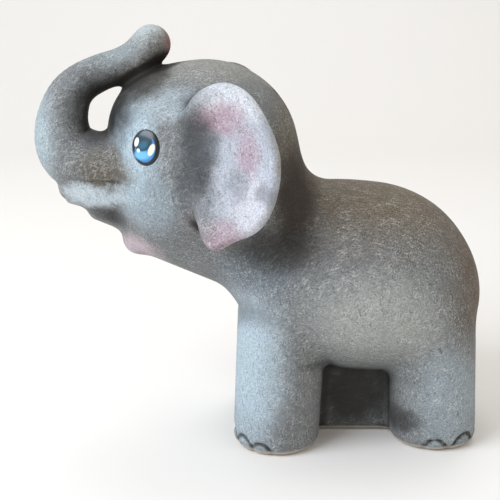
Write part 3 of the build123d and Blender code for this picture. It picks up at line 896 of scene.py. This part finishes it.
# painted parts of an eye, then three white painted highlights: sRGB, place across and up, half axes,
# turn in degrees, softness
EYE_PAINT_AND_HIGHLIGHTS = (
    ("#2F78B4", (0.00, -0.04, 0.73, 0.76, 0.0), 0.06),
    ("#68B0E0", (-0.14, -0.44, 0.56, 0.24, 12.0), 0.45),
    ("#18313F", (-0.20, 0.34, 0.66, 0.54, 32.0), 0.10),
    ("#2D5F78", (-0.16, 0.12, 0.34, 0.22, 28.0), 0.60),
    # painted highlights: partly catchlights painted on the eye, partly the window's reflection in its
    # clear coat
    ("#D9D5C4", (0.46, -0.02, 0.20, 0.36, -18.0), 0.12),
    ("#E4E3DC", (-0.66, 0.18, 0.16, 0.26, -8.0), 0.12),
    ("#E0E0DA", (-0.44, -0.24, 0.12, 0.11, 0.0), 0.14),
)


def eye_enamel():
    """Glossy enamel: black rim, blue iris, dark upper part and three white painted highlights, partly
    painted catchlights and partly the window's reflection.
    """
    material, tree = new_material(EYE_GLAZE)
    across = add_node(tree, MARK, {}, 2, attribute_name="eye_across")
    up = add_node(tree, MARK, {}, 2, attribute_name="eye_up")
    coat = linear("#0B0D10")
    for code, form, softness in EYE_PAINT_AND_HIGHLIGHTS:
        mask = oval_mask(tree, across, up, form, softness)
        coat = add_node(tree, MIX, {0: mask, 6: coat, 7: code}, COLOUR, **OVER)
    shader = add_node(tree, PAINT, {
        "Base Color": coat, "Roughness": 0.30, "IOR": 1.42,
        "Coat Weight": 0.25, "Coat Roughness": 0.05})
    add_node(tree, FINISH, {"Surface": shader})
    return material


def soft_vinyl():
    """Soft milky PVC of the stopper, a little see-through at its edges."""
    material, tree = new_material(VINYL)
    cloud = add_node(tree, "ShaderNodeTexCoord", {}, 3)
    cloud = add_node(tree, NOISE, {"Vector": cloud, "Scale": 160.0, "Detail": 2.0})
    milk = add_node(tree, MIX, {0: cloud, 6: "#D8D5CB", 7: "#C8C4B6"}, COLOUR, **OVER)
    shader = add_node(tree, PAINT, {
        "Base Color": milk, "Roughness": 0.42, "IOR": 1.53, "Subsurface Weight": 0.35,
        "Subsurface Radius": (0.004, 0.0035, 0.003), "Subsurface Scale": 1.0,
        "Transmission Weight": 0.12})
    add_node(tree, FINISH, {"Surface": shader})
    return material


def plain_sheet(name, code):
    """Seamless paper of one colour."""
    material, tree = new_material(name)
    shader = add_node(tree, PAINT, {
        "Base Color": code, "Roughness": 0.85, "Specular IOR Level": 0.2})
    add_node(tree, FINISH, {"Surface": shader})
    return material


# ---- operators -----------------------------------------------------------------------------------
class MoneyBoxSettings(bpy.types.PropertyGroup):
    """Sizes and finish that a user may change."""
    casting_step: bpy.props.FloatProperty(
        name="Casting mesh step", description="Size of the faces of the hollow casting, in millimetres",
        default=1.45, min=0.8, max=4.0)
    fine_step: bpy.props.FloatProperty(
        name="Fine mesh step",
        description="Size of the faces of the trunk and the ears, in millimetres",
        default=0.9, min=0.5, max=3.0)
    stopper_step: bpy.props.FloatProperty(
        name="Stopper mesh step", description="Size of the faces of the stopper, in millimetres",
        default=0.45, min=0.25, max=1.5)
    stroke_strength: bpy.props.FloatProperty(
        name="Brush strokes", description="How strongly the dry-brushed strokes show",
        default=1.0, min=0.0, max=2.0, subtype="FACTOR")
    floor_colour: bpy.props.FloatVectorProperty(
        name="Floor", description="Colour of the sheet that the money box stands on",
        default=(0.82, 0.80, 0.77), size=3, min=0.0, max=1.0, subtype="COLOR")


def shared(name, make):
    """The material of that name, made the first time that it is wanted."""
    return bpy.data.materials.get(name) or make()


def checked(piece, low, high):
    """Stops the script if a piece is empty or far from where it belongs."""
    co = np.empty(len(piece.data.vertices) * 3, np.float32)
    piece.data.vertices.foreach_get("co", co)
    co = co.reshape(-1, 3) / MM
    if not len(co) or (co.min(axis=0) < low).any() or (co.max(axis=0) > high).any():
        raise RuntimeError(f"{piece.name} isn't inside its own box")


class MONEYBOX_OT_casting(bpy.types.Operator):
    """Hollow body, head and legs, with the coin slot and the emptying hole"""
    bl_idname = "money_box.casting"
    bl_label = "Casting"

    def execute(self, context):
        settings = context.scene.money_box
        paint = shared(CLAY_PAINT, lambda: ceramic_paint(settings))
        low, high = (-142.0, -48.0, -3.0), (66.0, 48.0, 188.0)
        mesh = clay_mesh("painted_body", casting_piece, low, high, settings.casting_step)
        piece = place(mesh, paint, "bank", "body_casting", "painted_ceramic")
        checked(piece, low, high)
        return {"FINISHED"}


class MONEYBOX_OT_trunk(bpy.types.Operator):
    """Trunk curled up and back to the forehead"""
    bl_idname = "money_box.trunk"
    bl_label = "Trunk"

    def execute(self, context):
        settings = context.scene.money_box
        paint = shared(CLAY_PAINT, lambda: ceramic_paint(settings))
        low, high = (-156.0, -26.0, 105.0), (-55.0, 26.0, 202.0)
        mesh = clay_mesh("painted_trunk", trunk_piece, low, high, settings.fine_step)
        piece = place(mesh, paint, "bank", "trunk", "painted_ceramic")
        checked(piece, low, high)
        return {"FINISHED"}


class MONEYBOX_OT_ears(bpy.types.Operator):
    """Both ears, each a dished plate with a rolled rim"""
    bl_idname = "money_box.ears"
    bl_label = "Ears"

    def execute(self, context):
        settings = context.scene.money_box
        paint = shared(CLAY_PAINT, lambda: ceramic_paint(settings))
        for side, word in ((-1.0, "left"), (1.0, "right")):
            field = lambda p: ear_piece(p * np.array([1.0, side, 1.0]))
            low, high = sorted((side * 14.0, side * 62.0))
            box = ((-92.0, low, 95.0), (-20.0, high, 182.0))
            mesh = clay_mesh("painted_ear_" + word, field, *box, settings.fine_step)
            piece = place(mesh, paint, "bank", "ear_" + word, "painted_ceramic")
            checked(piece, *box)
        return {"FINISHED"}


class MONEYBOX_OT_eyes(bpy.types.Operator):
    """Both eyes, painted under a clear coat"""
    bl_idname = "money_box.eyes"
    bl_label = "Eyes"

    def execute(self, context):
        enamel = shared(EYE_GLAZE, eye_enamel)
        for side, word in ((-1.0, "left"), (1.0, "right")):
            mesh = eye_mesh("enamel_eye_" + word, side)
            piece = place(mesh, enamel, "bank", "eye_" + word, "eye_enamel")
            checked(piece, (-104.0, -44.0, 134.0), (-84.0, 44.0, 158.0))
        return {"FINISHED"}


class MONEYBOX_OT_stopper(bpy.types.Operator):
    """Plug with its flange, and the tab that pulls it out"""
    bl_idname = "money_box.stopper"
    bl_label = "Stopper"

    def execute(self, context):
        step = context.scene.money_box.stopper_step
        vinyl = shared(VINYL, soft_vinyl)
        low, high = (15.0, -18.0, -1.5), (52.0, 18.0, 18.0)
        mesh = soft_mesh("vinyl_plug", plug_field, low, high, step)
        piece = place(mesh, vinyl, "stopper", "stopper_plug", "soft_pvc")
        checked(piece, low, high)
        mesh = soft_mesh("vinyl_pull_tab", tab_field, (20.0, -8.0, -1.0), (44.0, 8.0, 5.0), 0.5 * step)
        piece = place(mesh, vinyl, "pull_tab", "stopper_pull_tab", "soft_pvc")
        checked(piece, low, high)
        return {"FINISHED"}


class MONEYBOX_OT_stage(bpy.types.Operator):
    """Pale sheet that curves up behind, soft lights and the camera"""
    bl_idname = "money_box.stage"
    bl_label = "Stage"

    def execute(self, context):
        scene = context.scene
        bend = np.linspace(0.0, np.pi / 2, 25)
        y = np.concatenate([[-1.6], 0.7 + 0.5 * np.sin(bend), [1.2]])
        z = np.concatenate([[0.0], 0.5 - 0.5 * np.cos(bend), [2.2]])
        x = np.array([-2.2, 2.2])
        rows = len(y)
        verts = np.column_stack([np.repeat(x, rows), np.tile(y, 2), np.tile(z, 2)])
        k = np.arange(rows - 1)
        quads = np.column_stack([k, k + rows, k + rows + 1, k + 1])
        sheet = make_mesh("paper_sheet", verts, quads)
        paper = plain_sheet("paper", "#FFFFFF")
        paper.node_tree.nodes["Principled BSDF"].inputs["Base Color"].default_value = (
            *scene.money_box.floor_colour, 1.0)
        sheet.materials.append(paper)
        floor = bpy.data.objects.new("paper_sheet", sheet)
        scene.collection.objects.link(floor)

        world = bpy.data.worlds.new("room")
        world.use_nodes = True
        backdrop = world.node_tree.nodes["Background"]
        backdrop.inputs["Color"].default_value = (1.0, 0.99, 0.975, 1.0)
        backdrop.inputs["Strength"].default_value = 0.67
        scene.world = world
        scene.view_settings.view_transform = "Standard"
        for name, spot, size, power, code in LIGHTS:
            lamp = bpy.data.lights.new(name, "AREA")
            lamp.size, lamp.energy, lamp.color = size, power, linear(code)[:3]
            lamp_object = bpy.data.objects.new(name, lamp)
            lamp_object.location = spot
            aim = Vector(LIGHT_AIM) - Vector(spot)
            lamp_object.rotation_euler = aim.to_track_quat("-Z", "Y").to_euler()
            scene.collection.objects.link(lamp_object)

        camera = bpy.data.cameras.new("camera")
        camera.sensor_width = 36.0
        camera.lens = 0.5 * camera.sensor_width / math.tan(math.radians(0.5 * CAMERA_ANGLE))
        camera.clip_start = 0.01
        viewer = bpy.data.objects.new("camera", camera)
        pitch = math.radians(CAMERA_PITCH)
        back = Vector((0.0, -math.cos(pitch), math.sin(pitch)))
        viewer.location = Vector(CAMERA_TARGET) + back * CAMERA_DISTANCE
        viewer.rotation_euler = (-back).to_track_quat("-Z", "Y").to_euler()
        scene.collection.objects.link(viewer)
        scene.camera = viewer
        return {"FINISHED"}


class MONEYBOX_PT_panel(bpy.types.Panel):
    """Lists the pieces of the money box and their settings"""
    bl_idname = "MONEYBOX_PT_panel"
    bl_label = "Elephant money box"
    bl_space_type = "VIEW_3D"
    bl_region_type = "UI"
    bl_category = "Money box"

    def draw(self, context):
        for key in MoneyBoxSettings.__annotations__:
            self.layout.prop(context.scene.money_box, key)
        for operator in OPERATORS:
            self.layout.operator(operator.bl_idname)


OPERATORS = (MONEYBOX_OT_casting, MONEYBOX_OT_trunk, MONEYBOX_OT_ears, MONEYBOX_OT_eyes,
             MONEYBOX_OT_stopper, MONEYBOX_OT_stage)
CLASSES = (MoneyBoxSettings, *OPERATORS, MONEYBOX_PT_panel)


def register():
    for cls in CLASSES:
        bpy.utils.register_class(cls)
    bpy.types.Scene.money_box = bpy.props.PointerProperty(type=MoneyBoxSettings)


def unregister():
    del bpy.types.Scene.money_box
    for cls in reversed(CLASSES):
        bpy.utils.unregister_class(cls)


def main():
    register()
    bpy.ops.money_box.casting()
    bpy.ops.money_box.trunk()
    bpy.ops.money_box.ears()
    bpy.ops.money_box.eyes()
    bpy.ops.money_box.stopper()
    bpy.ops.money_box.stage()


if __name__ == "__main__":
    main()
